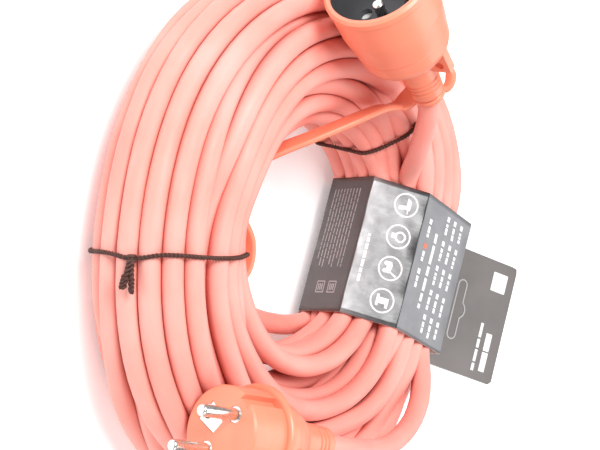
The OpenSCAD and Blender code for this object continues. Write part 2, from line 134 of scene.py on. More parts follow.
def sweep_mesh(line, across, up, section, closed=False, size=None):
    """Verts, faces and corner UVs of a section swept along a line. U runs along it in metres, V round it."""
    n = len(line)
    size = np.ones(n) if size is None else size
    sec = np.asarray(section, float)
    if sec.ndim == 2:
        sec = np.repeat(sec[None], n, 0)
    verts = (line[:, None] + (sec[..., 0] * size[:, None])[..., None] * across[:, None]
             + (sec[..., 1] * size[:, None])[..., None] * up[:, None]).reshape(-1, 3)
    m = sec.shape[1]
    gaps = np.linalg.norm(np.diff(line, axis=0), axis=1)
    along = np.concatenate([[0], np.cumsum(gaps)])
    rows = n if closed else n - 1
    i = np.repeat(np.arange(rows), m)
    k = np.tile(np.arange(m), rows)
    i2, k2 = (i + 1) % n, (k + 1) % m
    faces = np.stack([i * m + k, i * m + k2, i2 * m + k2, i2 * m + k], -1)
    u1 = along[i]
    u2 = np.where(i2 == 0, along[-1] + gaps[-1], along[i2])
    v1, v2 = k / m, (k + 1) / m
    uv = np.stack([np.stack([u1, v1], -1), np.stack([u1, v2], -1), np.stack([u2, v2], -1),
                   np.stack([u2, v1], -1)], 1)
    faces = faces.tolist()
    uv = uv.reshape(-1, 2).tolist()
    if not closed:
        faces.append(list(range(m - 1, -1, -1)))
        faces.append([(n - 1) * m + q for q in range(m)])
        uv += [[0, q / m] for q in range(m)] + [[along[-1], q / m] for q in range(m)]
    return verts, faces, uv


def joined(name, parts, smooth=True):
    """One object from several (verts, faces, uv) sets."""
    verts, faces, uv = [], [], []
    for v, f, t in parts:
        base = len(verts)
        verts += [tuple(p) for p in v]
        faces += [[base + q for q in face] for face in f]
        uv += list(t)
    return mesh_object(name, verts, faces, uv, smooth)


def ring_section(r, sides):
    a = np.arange(sides) * 2 * math.pi / sides
    return np.stack([r * np.cos(a), r * np.sin(a)], -1)


# ---------------------------------------------------------------- the cable

CABLE_R = 4.5
COIL_H = 56.0
TURNS = 38
SLICES = 90
STEP = 360 / SLICES
START_AZ, END_AZ = 152.0, 20.0
SLEEVE_TURN = -14.6
TIE_NEAR_AT, TIE_FAR_AT = -86.0, 143.0
# Route points of the two loose ends and of the strap, in millimetres
TAIL_SOCKET = [(-84.2, 6.6, 76.3), (-79, 14.7, 75.3), (-73.6, 23.2, 74), (-66.5, 30, 71.6), (-59, 35.5, 66.8),
               (-51.5, 42, 60.4), (-45, 49, 54.3), (-39, 56, 48.5), (-29, 62, 43), (-18, 66, 41)]
TAIL_PLUG = [(74, -40.9, 68.9), (75.1, -29, 69.7), (75.9, -20, 70.4), (76.9, -10, 71), (77.7, -1, 71.2),
             (79, 14, 69.5), (79, 30, 66.5), (75, 45, 64), (68, 60, 61.5), (58, 71.5, 58.5), (47, 79.5, 53.5),
             (35, 83.5, 46.5), (22, 85.5, 43), (10, 86, 42)]
STRAP = [(-73.2, 24.0, 67.3), (-67, 23, 60.5), (-64.5, 14, 58), (-60.5, 5.5, 55.5), (-55, -3, 50), (-48.5, -12, 42),
         (-42, -20, 32.5), (-35, -27.5, 24.5), (-26, -35, 21), (-14, -36, 25), (-2, -31.5, 29), (10, -31.5, 28),
         (18, -38, 23), (22, -48, 18)]
PLUG_AT, PLUG_WAY = np.array([70.3, -81.6, 66.0]), np.array([0.0904, 0.9935, 0.0698])
SOCKET_AT, SOCKET_WAY = np.array([-109.3, -33, 81.5]), np.array([0.5326, 0.8392, -0.1097])
PLUG_LEN, SOCKET_LEN = 62.0, 67.0
PIN_OFFSETS = [(7.4, -0.25, -6.0), (-7.4, 0.25, 6.0)]
# Outline of the folded card across the bundle (outwards, up), and its ends along the bundle
SLEEVE_OUTLINE = np.array([[41, 9], [33, 36.5], [52.5, 55], [96, 52.5], [101, 13], [96, 0.8], [52, 0.8]])
SLEEVE_ENDS = (-47.2, 15.8)
CARD_T = 0.6
CARD_GAP = 0.35
SMOOTHED_BELOW = 41.0     # radius of the bends that the last passes ease out
MOUTH = 16.0     # the turns come together over this distance before the card
# The loose turn's line across the eye: azimuth, radius, height
LOOSE_LINE = np.array([(-42, 34.5, 20), (-25, 30.5, 16), (-10, 29.5, 13), (8, 31, 11), (26, 35.5, 11), (40, 39.5, 12)])
# Middle of the bundle of turns by azimuth: a circle that is pulled straight, and a little askew, by the sleeve
BUNDLE_MIDDLE = np.array([(-208, 84.5), (-195, 86), (-180, 87.5), (-165, 89.5), (-155, 90), (-145, 87.5),
                          (-133, 83), (-122, 80), (-110, 79), (20, 79), (36, 76.5), (50, 73.2), (62.5, 70.8),
                          (75, 69.3), (86, 70.2), (98, 74.5), (109.7, 83), (118, 88), (128, 89.5), (136, 87.5),
                          (146, 85), (152, 84.5)])


def smoothstep(x):
    x = np.clip(x, 0, 1)
    return x * x * (3 - 2 * x)


def away(az, centre):
    return np.abs((az - centre + 180) % 360 - 180)


def mouth_flare(beyond):
    """Extra room round the turns at a distance outside the card's ends."""
    return 0.45 * np.clip(beyond - 1.5, 0, None)


def packed_section(count, half_w, half_h, rng):
    """Middles of round turns packed in an oval, about its centre."""
    p = rng.uniform(-1, 1, (count * 4, 2))
    p = p[np.hypot(p[:, 0], p[:, 1]) < 1][:count] * [half_w, half_h]
    a, b = half_w - CABLE_R, half_h - CABLE_R
    for step in range(1500):
        gap = p[:, None] - p[None]
        dist = np.hypot(gap[..., 0], gap[..., 1]) + np.eye(count) * 1e3
        p = p + 0.35 * (gap / dist[..., None] * np.clip(2.04 * CABLE_R - dist, 0, None)[..., None]).sum(1)
        p = p * 0.998
        p = p / np.maximum(np.hypot(p[:, 0] / a, p[:, 1] / b), 1)[:, None]
        if step < 900 and step % 60 == 0:
            p = p + rng.normal(0, 1.2, p.shape)
    return p


def winding_order(p):
    """Down the inner half in short rows, and up the outer half."""
    order = []
    for side in (-1, 1):
        mine = sorted((i for i in range(len(p)) if (p[i, 0] < 0) == (side < 0)), key=lambda i: side * p[i, 1])
        rows, row = [], []
        for i in mine:
            if row and abs(p[i, 1] - p[row[0], 1]) > 5.5:
                rows.append(row)
                row = []
            row.append(i)
        rows.append(row)
        for k, row in enumerate(rows):
            order += sorted(row, key=lambda i: p[i, 0], reverse=(k % 2 == 1))
    return order


def route_at(route, wanted):
    """Radius and height of a route at the wanted azimuths."""
    s = spline(route, 12)
    a = np.degrees(np.arctan2(s[:, 1], s[:, 0]))
    o = np.argsort(a)
    return np.stack([np.interp(wanted, a[o], np.hypot(s[o, 0], s[o, 1])), np.interp(wanted, a[o], s[o, 2])], -1)


def wind_cable(seed=3, steps=420):
    """The whole cable as one line, in millimetres: the socket's loose end, the turns and the plug's loose end.

    Each turn crosses slices at fixed azimuths. In every slice the turns push each other apart and stay inside the
    bundle, the card and the ground; along the cable they stay smooth."""
    rng = np.random.default_rng(seed)
    K, N = TURNS + 1, SLICES
    az = START_AZ - STEP * np.arange(N)
    last = TURNS * N + int(round((START_AZ - END_AZ) / STEP))
    valid = np.arange(K * N).reshape(K, N) <= last
    section = packed_section(TURNS, 32.0, 27.0, rng)
    section = section[winding_order(section)]
    knots = np.vstack([section, section[-1:]])
    t = np.arange(K * N) / N
    k = t.astype(int)
    f = smoothstep(t - k)[:, None]
    base = (knots[k] * (1 - f) + knots[np.minimum(k + 1, K - 1)] * f).reshape(K, N, 2)
    # how free the turns are to spread: 0 at a tie and in the sleeve, 1 far from them
    d_sleeve = np.maximum(away(az, 86.0) - 25, 0)
    free = smoothstep((np.minimum(np.minimum(away(az, TIE_NEAR_AT), away(az, TIE_FAR_AT)), d_sleeve) - 4) / 38)
    middle = np.concatenate([np.interp(az, *BUNDLE_MIDDLE.T)] * 3)
    for _ in range(12):
        middle = 0.25 * np.roll(middle, 1) + 0.5 * middle + 0.25 * np.roll(middle, -1)
    middle = middle[N:2 * N]
    centre = np.stack([middle, np.full(N, COIL_H / 2)], -1)[None]
    wander = np.zeros((K * N, 2))
    for wave, amount in ((150, 2.6), (70, 2.0), (34, 1.0)):
        kn = rng.normal(0, 1, (K * N // wave + 4, 2))
        x = np.arange(K * N) / wave
        i = x.astype(int)
        u = smoothstep(x - i)[:, None]
        wander += amount * (kn[i] * (1 - u) + kn[i + 1] * u)
    spread = free[None, :, None]
    target = base * (1 + 0.10 * spread) + wander.reshape(K, N, 2) * spread + centre
    P = target.copy()
    held = np.zeros((K, N), bool)
    j = np.where(az >= 106)[0]
    P[0, j], held[0, j] = route_at(TAIL_SOCKET, az[j]), True
    j = np.where((az >= END_AZ) & (az <= 84))[0]
    P[K - 1, j], held[K - 1, j] = route_at(TAIL_PLUG, az[j]), True
    # one inner turn hangs loose and cuts across the coil's eye
    loose = np.zeros((K, N), bool)
    k_loose = int(np.argmin(np.abs(section[:, 0] + 22) + 1.5 * np.abs(section[:, 1] + 14)))
    from_zero = (az + 180) % 360 - 180
    j = np.where((from_zero > -75) & (from_zero < 62))[0]
    loose[k_loose, j] = True
    j = np.where((from_zero > -42) & (from_zero < 40))[0]
    P[k_loose, j] = np.stack([np.interp(from_zero[j], LOOSE_LINE[:, 0], LOOSE_LINE[:, i]) for i in (1, 2)], -1)
    target[k_loose, j] = P[k_loose, j]
    held[k_loose, j] = True
    held_at = P.copy()
    P[~valid] = 1e4
    # the card's outline as half planes
    edge = np.roll(SLEEVE_OUTLINE, -1, 0) - SLEEVE_OUTLINE
    normal = unit(np.stack([edge[:, 1], -edge[:, 0]], -1))
    normal[((SLEEVE_OUTLINE.mean(0) - SLEEVE_OUTLINE) * normal).sum(1) > 0] *= -1
    reach = (SLEEVE_OUTLINE * normal).sum(1) - CARD_T - CABLE_R - CARD_GAP
    psi = np.radians(az - SLEEVE_TURN)
    sin_psi, cos_psi = np.sin(psi), np.cos(psi)
    half_w = 32.2 + 3.3 * free - CABLE_R
    half_h = 27.2 + 1.8 * free - CABLE_R
    oval = np.stack([half_w, half_h], -1)[None]
    ca, sa = np.cos(np.radians(az)), np.sin(np.radians(az))
    strap = spline(STRAP, 6)[2:-8]
    strap_az = np.degrees(np.arctan2(strap[:, 1], strap[:, 0]))

    def plug_r(d):
        return np.where(d < 18, 18.0, np.where(d < 22.5, 20.7, np.where(d < 42, 16.2 - 0.25 * (d - 22.5), 8.6)))

    def socket_r(d):
        return np.where(d < 18, 22.5, np.where(d < 34, 22.5 - (d - 18) * 0.16, np.where(
            d < 43, 20.0 - (d - 34) * 1.0, np.where(d < 48, 10.8, 8.6))))

    def contain(P):
        s = np.maximum(np.linalg.norm((P - centre) / oval, axis=-1), 1)
        inside = P + 0.6 * (centre - P) * (1 - 1 / s)[..., None]
        along = P[..., 0] * cos_psi
        beyond = np.maximum(SLEEVE_ENDS[0] - along, along - SLEEVE_ENDS[1])
        flare = mouth_flare(beyond)
        yz = np.stack([P[..., 0] * sin_psi, P[..., 1]], -1)
        for _ in range(2):
            for n_, r_ in zip(normal, reach):
                yz = yz - 0.5 * np.clip(yz @ n_ - r_ - flare, 0, None)[..., None] * n_
        in_card = (beyond < MOUTH) & (sin_psi > 0)
        in_card_at = np.stack([yz[..., 0] / np.where(np.abs(sin_psi) < 0.1, 0.1, sin_psi), yz[..., 1]], -1)
        inside[loose] = P[loose]
        P = np.where(in_card[..., None], in_card_at, inside)
        P[..., 1] = np.maximum(P[..., 1], CABLE_R + 0.1)
        return P

    def push_off(P, X, start, way, radius, low, high):
        rel = X - start
        d = rel @ way
        perp = rel - d[..., None] * way
        dist = np.linalg.norm(perp, axis=-1)
        need = radius(d) + CABLE_R + 0.2
        hit = (d > low) & (d < high) & (dist < need)
        shift = np.where(hit[..., None], perp / dist[..., None] * (need - dist)[..., None], 0)
        P[..., 0] += 0.7 * (shift[..., 0] * ca + shift[..., 1] * sa)
        P[..., 1] += 0.7 * shift[..., 2]

    def avoid(P):
        X = np.stack([P[..., 0] * ca, P[..., 0] * sa, P[..., 1]], -1)
        push_off(P, X, PLUG_AT, PLUG_WAY, plug_r, -1, PLUG_LEN + 1)
        push_off(P, X, SOCKET_AT, SOCKET_WAY, socket_r, -1, SOCKET_LEN + 1)
        for pin in PIN_OFFSETS:
            push_off(P, X, PLUG_AT + pin, PLUG_WAY, lambda d: 2.7 + 0 * d, -20, 0)
        for s, a in zip(strap, strap_az):
            jj = np.where(away(az, a) < 3.1)[0]
            if len(jj):
                dr = P[:, jj, 0] - math.hypot(s[0], s[1])
                dz = P[:, jj, 1] - s[2]
                far = (CABLE_R + 1.6) * np.sqrt(np.clip(1 - (np.abs(dz) / (CABLE_R + 4.0)) ** 4, 0, 1))
                hit = (np.abs(dz) < CABLE_R + 4.0) & (dr < CABLE_R + 1.6) & (dr > -12)
                P[:, jj, 0] += np.where(hit, np.clip(far - dr, 0, 3) * 0.5, 0)
        return P

    same = np.eye(K)[..., None] * 1e3 + 1e-3
    for step in range(steps):
        F = P.reshape(-1, 2)
        for _ in range(2):
            lap = np.zeros_like(F)
            lap[1:-1] = 0.5 * (F[:-2] + F[2:]) - F[1:-1]
            lap[last:] = 0
            F = F + 0.45 * lap
        P = F.reshape(K, N, 2)
        P = P + (0.02 if step < 0.7 * steps else 0.006) * (target - P)
        P[..., 1] -= 0.01
        for _ in range(2):
            gap = P[:, None] - P[None]
            dist = np.sqrt((gap ** 2).sum(-1)) + same
            move = (gap * (np.clip(2 * CABLE_R - dist, 0, None) / dist)[..., None]).sum(1)
            size = np.sqrt((move ** 2).sum(-1, keepdims=True))
            P = contain(P + 0.33 * move * np.minimum(1, 2.0 / np.maximum(size, 1e-9)))
        P = avoid(P)
        P[held] = held_at[held]
        P[~valid] = 1e4
    line = np.stack([P[..., 0] * ca, P[..., 0] * sa, P[..., 1]], -1)[valid]
    head, tail = spline(TAIL_SOCKET, 12), spline(TAIL_PLUG, 12)
    head = head[np.degrees(np.arctan2(head[:, 1], head[:, 0])) > START_AZ + 1.5][::3]
    tail = tail[np.degrees(np.arctan2(tail[:, 1], tail[:, 0])) < END_AZ - 1.5][::-1][::3]
    path = np.vstack([head, line, tail])
    ct, st = math.cos(math.radians(SLEEVE_TURN)), math.sin(math.radians(SLEEVE_TURN))
    for step in range(150):
        along = path[:, 0] * ct + path[:, 1] * st
        over = np.maximum(SLEEVE_ENDS[0] - along, along - SLEEVE_ENDS[1])
        yz = np.stack([path[:, 1] * ct - path[:, 0] * st, path[:, 2]], -1)
        near = (over < 6) & (yz[:, 0] > 0)
        for n_, r_ in zip(normal, reach):
            yz = yz - np.clip(yz @ n_ - r_ - mouth_flare(over), 0, None)[:, None] * n_
        path[near, 0] = (along * ct - yz[:, 0] * st)[near]
        path[near, 1] = (along * st + yz[:, 0] * ct)[near]
        path[near, 2] = yz[near, 1]
        soft = 0.5 * path[1:-1] + 0.25 * (path[:-2] + path[2:])
        if step < 3:
            path[1:-1] = soft
            continue
        # a rubber lead takes no tight bends
        way = unit(np.diff(path, axis=0))
        turn = np.arccos(np.clip((way[1:] * way[:-1]).sum(1), -1, 1))
        gap = np.linalg.norm(path[2:] - path[:-2], axis=1) / 2
        tight = turn > gap / SMOOTHED_BELOW
        tight = tight | np.roll(tight, 1) | np.roll(tight, -1)
        path[1:-1][tight] = soft[tight]
    return path


cable_line = wind_cable()
across, up = carried_frames(cable_line, (0, 0, 1))
sides = 16
round_at = np.arange(sides) * 2 * math.pi / sides
travelled = np.concatenate([[0], np.cumsum(np.linalg.norm(np.diff(cable_line, axis=0), axis=1))])
# the three cores under the sheath show as a faint long twist
radius = CABLE_R + 0.07 * np.cos(3 * round_at[None] + travelled[:, None] * 2 * math.pi / 55)
sections = np.stack([radius * np.cos(round_at), radius * np.sin(round_at)], -1)
v, f, uv = sweep_mesh(cable_line * MM, across, up, sections * MM)
cable = mesh_object("cable", v, f, uv)
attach(cable, "cord")
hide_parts("cable_coil", "cable_tail_socket", "cable_tail_plug")

# ---------------------------------------------------------------- materials


class Shader:
    """A Principled material with a few helpers for its procedural inputs."""

    def __init__(self, name, color, rough, **sockets):
        self.material = bpy.data.materials.new(name)
        self.material.use_nodes = True
        self.tree = self.material.node_tree
        self.tree.nodes.clear()
        self.out = self.tree.nodes.new("ShaderNodeOutputMaterial")
        self.bsdf = self.tree.nodes.new("ShaderNodeBsdfPrincipled")
        self.link(self.bsdf.outputs[0], self.out.inputs[0])
        self.bsdf.inputs["Base Color"].default_value = (*color, 1)
        self.bsdf.inputs["Roughness"].default_value = rough
        for key, value in sockets.items():
            self.bsdf.inputs[key.replace("_", " ")].default_value = value
        self.place = self.tree.nodes.new("ShaderNodeTexCoord")

    def link(self, a, b):
        self.tree.links.new(a, b)

    def scaled(self, scale, uv=False):
        node = self.tree.nodes.new("ShaderNodeMapping")
        node.inputs["Scale"].default_value = scale
        self.link(self.place.outputs["UV" if uv else "Object"], node.inputs[0])
        return node.outputs[0]

    def noise(self, scale, detail=3.0, rough=0.5, uv=False, stretch=(1, 1, 1)):
        node = self.tree.nodes.new("ShaderNodeTexNoise")
        node.inputs["Scale"].default_value = 1.0
        node.inputs["Detail"].default_value = detail
        node.inputs["Roughness"].default_value = rough
        self.link(self.scaled([scale * s for s in stretch], uv), node.inputs["Vector"])
        return node.outputs["Fac"]

    def ramp(self, source, stops):
        node = self.tree.nodes.new("ShaderNodeValToRGB")
        while len(node.color_ramp.elements) > 1:
            node.color_ramp.elements.remove(node.color_ramp.elements[-1])
        for i, (at, color) in enumerate(stops):
            e = node.color_ramp.elements[0] if i == 0 else node.color_ramp.elements.new(at)
            e.position = at
            e.color = (*color, 1) if len(color) == 3 else color
        self.link(source, node.inputs[0])
        return node.outputs[0]

    def grey(self, source, low, high, start=0.0, end=1.0):
        node = self.tree.nodes.new("ShaderNodeMapRange")
        for key, value in (("From Min", start), ("From Max", end), ("To Min", low), ("To Max", high)):
            node.inputs[key].default_value = value
        self.link(source, node.inputs["Value"])
        return node.outputs[0]

    def mix(self, factor, a, b, mode="MIX"):
        node = self.tree.nodes.new("ShaderNodeMix")
        node.data_type = "RGBA"
        node.blend_type = mode
        for socket, value in ((node.inputs[0], factor), (node.inputs[6], a), (node.inputs[7], b)):
            if isinstance(value, bpy.types.NodeSocket):
                self.link(value, socket)
            elif isinstance(value, (int, float)):
                socket.default_value = value
            else:
                socket.default_value = (*value, 1)
        return node.outputs[2]

    def math(self, how, a, b=0.0):
        node = self.tree.nodes.new("ShaderNodeMath")
        node.operation = how
        for socket, value in ((node.inputs[0], a), (node.inputs[1], b)):
            if isinstance(value, bpy.types.NodeSocket):
                self.link(value, socket)
            else:
                socket.default_value = value
        return node.outputs[0]

    def uv_axis(self, axis):
        node = self.tree.nodes.new("ShaderNodeSeparateXYZ")
        self.link(self.place.outputs["UV"], node.inputs[0])
        return node.outputs[axis]

    def color(self, source):
        self.link(source, self.bsdf.inputs["Base Color"])

    def rough(self, source):
        self.link(source, self.bsdf.inputs["Roughness"])

    def bump(self, source, strength, distance):
        node = self.tree.nodes.new("ShaderNodeBump")
        node.inputs["Strength"].default_value = strength
        node.inputs["Distance"].default_value = distance
        if self.bsdf.inputs["Normal"].is_linked:
            self.link(self.bsdf.inputs["Normal"].links[0].from_socket, node.inputs["Normal"])
        self.link(source, node.inputs["Height"])
        self.link(node.outputs[0], self.bsdf.inputs["Normal"])


def cable_material():
    s = Shader("cable_rubber", (0.92, 0.35, 0.27), 0.6, Sheen_Weight=0.12, Sheen_Roughness=0.4)
    clouds = s.noise(22, 3)
    streaks = s.noise(1, 2, uv=True, stretch=(55, 5, 1))
    tint = s.ramp(clouds, [(0.3, (0.9, 0.3, 0.245)), (0.5, (0.92, 0.345, 0.285)), (0.72, (0.93, 0.41, 0.355))])
    dust = s.grey(streaks, 0.0, 0.35, 0.52, 0.8)
    # Painted shade: an Ambient Occlusion node darkens the base colour towards deep red in the gaps between the turns,
    # where shade falls.
    shade = s.tree.nodes.new("ShaderNodeAmbientOcclusion")
    shade.samples = 6
    shade.inputs["Distance"].default_value = 0.007
    painted_gap_shade = s.grey(shade.outputs["AO"], 0.85, 0.0, 0.12, 0.5)
    s.color(s.mix(painted_gap_shade, s.mix(dust, tint, (0.84, 0.45, 0.4)), (0.45, 0.035, 0.015)))
    s.rough(s.grey(s.noise(60, 3), 0.5, 0.68, 0.3, 0.7))
    s.bump(s.noise(1, 3, uv=True, stretch=(420, 26, 1)), 0.25, 0.00012)
    s.bump(s.noise(1500, 2), 0.15, 0.00005)
    return s.material


def moulding_material(name, color, rough):
    s = Shader(name, color, rough, Coat_Weight=0.15, Coat_Roughness=0.25)
    clouds = s.noise(35, 3)
    s.color(s.ramp(clouds, [(0.3, tuple(0.92 * c for c in color)), (0.7, tuple(min(1, 1.06 * c) for c in color))]))
    s.rough(s.grey(s.noise(90, 4), rough - 0.06, rough + 0.1, 0.3, 0.7))
    s.bump(s.noise(900, 3), 0.12, 0.00006)
    s.bump(s.noise(70, 2), 0.1, 0.0002)
    return s.material


def metal_material(name, color, rough, stretch=(1, 1, 1)):
    s = Shader(name, color, rough, Metallic=1.0)
    scratches = s.noise(700, 3, stretch=stretch)
    s.color(s.ramp(s.noise(60, 3), [(0.3, tuple(0.82 * c for c in color)), (0.7, color)]))
    s.rough(s.grey(scratches, rough - 0.08, rough + 0.15, 0.3, 0.7))
    s.bump(scratches, 0.12, 0.00003)
    return s.material


def plastic_material(name, color, rough):
    s = Shader(name, color, rough)
    s.color(s.ramp(s.noise(80, 3), [(0.3, tuple(0.88 * c for c in color)),
                                    (0.7, tuple(min(1, 1.08 * c) for c in color))]))
    s.rough(s.grey(s.noise(300, 3), rough - 0.05, rough + 0.1, 0.3, 0.7))
    s.bump(s.noise(1200, 2), 0.15, 0.00004)
    return s.material


def banded_core_material():
    s = Shader("core_green_yellow", (0.35, 0.62, 0.12), 0.45)
    wave = s.tree.nodes.new("ShaderNodeTexWave")
    wave.inputs["Scale"].default_value = 90
    wave.inputs["Distortion"].default_value = 0.5
    s.link(s.place.outputs["Object"], wave.inputs[0])
    s.color(s.ramp(wave.outputs[1], [(0.45, (0.12, 0.42, 0.08)), (0.55, (0.85, 0.75, 0.05))]))
    return s.material


cable.data.materials.append(cable_material())
ORANGE = (0.93, 0.27, 0.16)
connector = moulding_material("connector_rubber", ORANGE, 0.4)
MATERIALS = {
    "connector_rubber": connector,
    "insert_plastic": plastic_material("insert_plastic", (0.055, 0.055, 0.06), 0.5),
    "white_plastic": plastic_material("white_plastic", (0.82, 0.82, 0.8), 0.5),
    "nickelled_brass": metal_material("nickelled_brass", (0.86, 0.85, 0.82), 0.22, (1, 1, 6)),
    "brass": metal_material("brass", (0.82, 0.6, 0.28), 0.3),
    "spring_steel": metal_material("spring_steel", (0.7, 0.7, 0.7), 0.3),
    "core_brown": plastic_material("core_brown", (0.22, 0.09, 0.04), 0.45),
    "core_blue": plastic_material("core_blue", (0.05, 0.18, 0.6), 0.45),
    "core_green_yellow": banded_core_material(),
}


def card_material(name, color, rough, foil=False):
    s = Shader(name, color, rough, Coat_Weight=0.3, Coat_Roughness=0.2)
    if foil:
        s.bsdf.inputs["Metallic"].default_value = 0.1
        # Painted light: across the foil panel the base colour carries a bright band at the fold, a painted reflection,
        # and darkens away from it towards the panel's other end, painted shade.
        shade = s.ramp(s.uv_axis(1), [(0.185, (0.04, 0.04, 0.04)), (0.2, (0.26, 0.26, 0.265)),
                                      (0.225, (0.11, 0.11, 0.115)),
                                      (0.26, (0.045, 0.045, 0.047)), (0.31, (0.016, 0.016, 0.017))])
        brushed = s.noise(1, 5, 0.65, uv=True, stretch=(900, 70, 1))
        s.color(s.mix(s.grey(brushed, 0.0, 0.4, 0.45, 0.8), shade, (0.22, 0.22, 0.225)))
        s.bump(s.noise(1, 4, uv=True, stretch=(300, 60, 1)), 0.3, 0.0001)
    else:
        s.color(s.ramp(s.noise(30, 4), [(0.3, tuple(0.82 * c for c in color)), (0.7, tuple(1.12 * c for c in color))]))
    s.rough(s.grey(s.noise(180, 4), rough - 0.08, rough + 0.12, 0.3, 0.7))
    s.bump(s.noise(900, 3), 0.12, 0.00005)
    return s.material


MATERIALS.update({
    "tie_brown": plastic_material("tie_brown", (0.075, 0.024, 0.016), 0.5),
    "card_dark": card_material("card_dark", (0.07, 0.065, 0.065), 0.42),
    "card_foil": card_material("card_foil", (0.3, 0.3, 0.31), 0.34, foil=True),
    "card_grey": card_material("card_grey", (0.19, 0.19, 0.205), 0.45),
    "card_board": card_material("card_board", (0.62, 0.6, 0.57), 0.7),
    "card_tab": card_material("card_tab", (0.17, 0.155, 0.15), 0.5),
    "print_white": plastic_material("print_white", (0.85, 0.85, 0.85), 0.5),
    "print_grey": plastic_material("print_grey", (0.4, 0.4, 0.4), 0.5),
    "print_orange": plastic_material("print_orange", (0.85, 0.16, 0.06), 0.5),
})
for row in frame["record"]["subparts"]:
    material = MATERIALS.get(row["material_slot"])
    if material:
        data = frame["nodes"][row["node"]].data
        data.materials.clear()
        data.materials.append(material)

# ---------------------------------------------------------------- strap

WORLD_UP = np.array([0, 0, 1.0])
SOCKET_WAY = unit(SOCKET_WAY)
RING_AT = SOCKET_AT + (SOCKET_LEN + 1.6) * SOCKET_WAY


def rounded_box(w, h, r, steps=4):
    """Section of a band with rounded corners, as points (across, up)."""
    out = []
    for cx, cy, a0 in ((1, 1, 0), (-1, 1, 90), (-1, -1, 180), (1, -1, 270)):
        for k in range(steps + 1):
            a = math.radians(a0 + 90 * k / steps)
            out.append(((w / 2 - r) * cx + r * math.cos(a), (h / 2 - r) * cy + r * math.sin(a)))
    return np.array(out)


def make_strap():
    line = spline(STRAP, 10)
    across, up = level_frames(line)
    way = np.concatenate([[0], np.cumsum(np.linalg.norm(np.diff(line, axis=0), axis=1))])
    left = way[-1] - way
    # the band is flat along its route, with a thicker bead at both edges, and ends in a point like a leaf
    band = rounded_box(9.0, 1.9, 0.85, 3)
    sections = np.repeat(band[None], len(line), 0)
    bead = 1 + 0.3 * smoothstep((np.abs(sections[..., 0]) - 2.6) / 1.2)
    sections[..., 1] *= bead
    taper = np.clip(np.sqrt(np.clip(left / 9.0, 0.02, 1)), 0.12, 1)
    sections[..., 0] *= taper[:, None]
    # the CAD band stands with its width upright, so width goes with `up`
    sections = sections[..., ::-1].copy()
    body = sweep_mesh(line * MM, across, up, sections * MM)
    # the ring round the cable
    turn = np.arange(40) * 2 * math.pi / 40
    side = unit(np.cross(WORLD_UP, SOCKET_WAY))
    top = np.cross(SOCKET_WAY, side)
    circle = RING_AT + 5.75 * (np.cos(turn)[:, None] * side + np.sin(turn)[:, None] * top)
    outward = unit(circle - RING_AT)
    ring = sweep_mesh(circle * MM, outward, np.repeat(SOCKET_WAY[None], 40, 0), rounded_box(2.3, 2.8, 0.9, 3) * MM,
                      closed=True)
    # its pulled-through end stands up beside the strain relief
    start = RING_AT + np.array([-2.0, 2.8, 3.9])
    tip_line = spline([start, start + [-1.2, 1.3, 1.9], start + [-3.8, 1.8, 3.0], start + [-6.9, 1.4, 3.2],
                       start + [-9.2, 0.4, 2.6]], 6)
    ta, tu = level_frames(tip_line)
    t = np.linspace(0, 1, len(tip_line))
    fat = np.sqrt(np.clip(1 - ((t - 0.6) / 0.44).clip(0, 1) ** 2, 0.03, 1)) * (0.72 + 0.28 * t)
    tip = sweep_mesh(tip_line * MM, ta, tu, rounded_box(3.8, 5.4, 1.7, 4) * MM, size=fat)
    strap = joined("strap_rubber", [body, ring, tip])
    strap.data.materials.append(MATERIALS["connector_rubber"])
    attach(strap, "cord")
    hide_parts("strap")


# ---------------------------------------------------------------- ties


def hull(points):
    pts = sorted(map(tuple, points))

    def half(seq):
        out = []
        for q in seq:
            while len(out) > 1 and ((out[-1][0] - out[-2][0]) * (q[1] - out[-2][1])
                                    - (out[-1][1] - out[-2][1]) * (q[0] - out[-2][0])) <= 0:
                out.pop()
            out.append(q)
        return out[:-1]
    return np.array(half(pts) + half(pts[::-1]))


def resampled(line, gap, closed=False):
    if closed:
        line = np.vstack([line, line[:1]])
    way = np.concatenate([[0], np.cumsum(np.linalg.norm(np.diff(line, axis=0), axis=1))])
    n = max(int(way[-1] / gap), 4)
    at = np.linspace(0, way[-1], n + 1)
    out = np.stack([np.interp(at, way, line[:, c]) for c in range(line.shape[1])], -1)
    return out[:-1] if closed else out


def twisted(line, closed, wire_r, lay, phase=0.0, sides=6, loose=1.0):
    """Two wires laid round each other along a line."""
    ahead = headings(line, closed)
    ref = WORLD_UP if np.abs(ahead @ WORLD_UP).max() < 0.9 else np.array([0.3, 0.9, 0.2])
    side = unit(np.cross(ahead, ref))
    top = np.cross(ahead, side)
    gaps = np.linalg.norm(np.diff(line, axis=0), axis=1)
    way = np.concatenate([[0], np.cumsum(gaps)])
    whole = way[-1] + (np.linalg.norm(line[0] - line[-1]) if closed else 0)
    turns = max(round(whole / lay), 1) if closed else whole / lay
    a = way / whole * turns * 2 * math.pi + phase
    parts = []
    for k in range(2):
        b = a + k * math.pi
        wire = line + wire_r * loose * (np.cos(b)[:, None] * side + np.sin(b)[:, None] * top)
        if closed:
            wa = headings(wire, True)
            across = unit(np.cross(wa, top))
            upw = np.cross(across, wa)
        else:
            across, upw = carried_frames(wire, top[0])
        parts.append(sweep_mesh(wire * MM, across, upw, ring_section(wire_r, sides) * MM, closed=closed))
    return parts


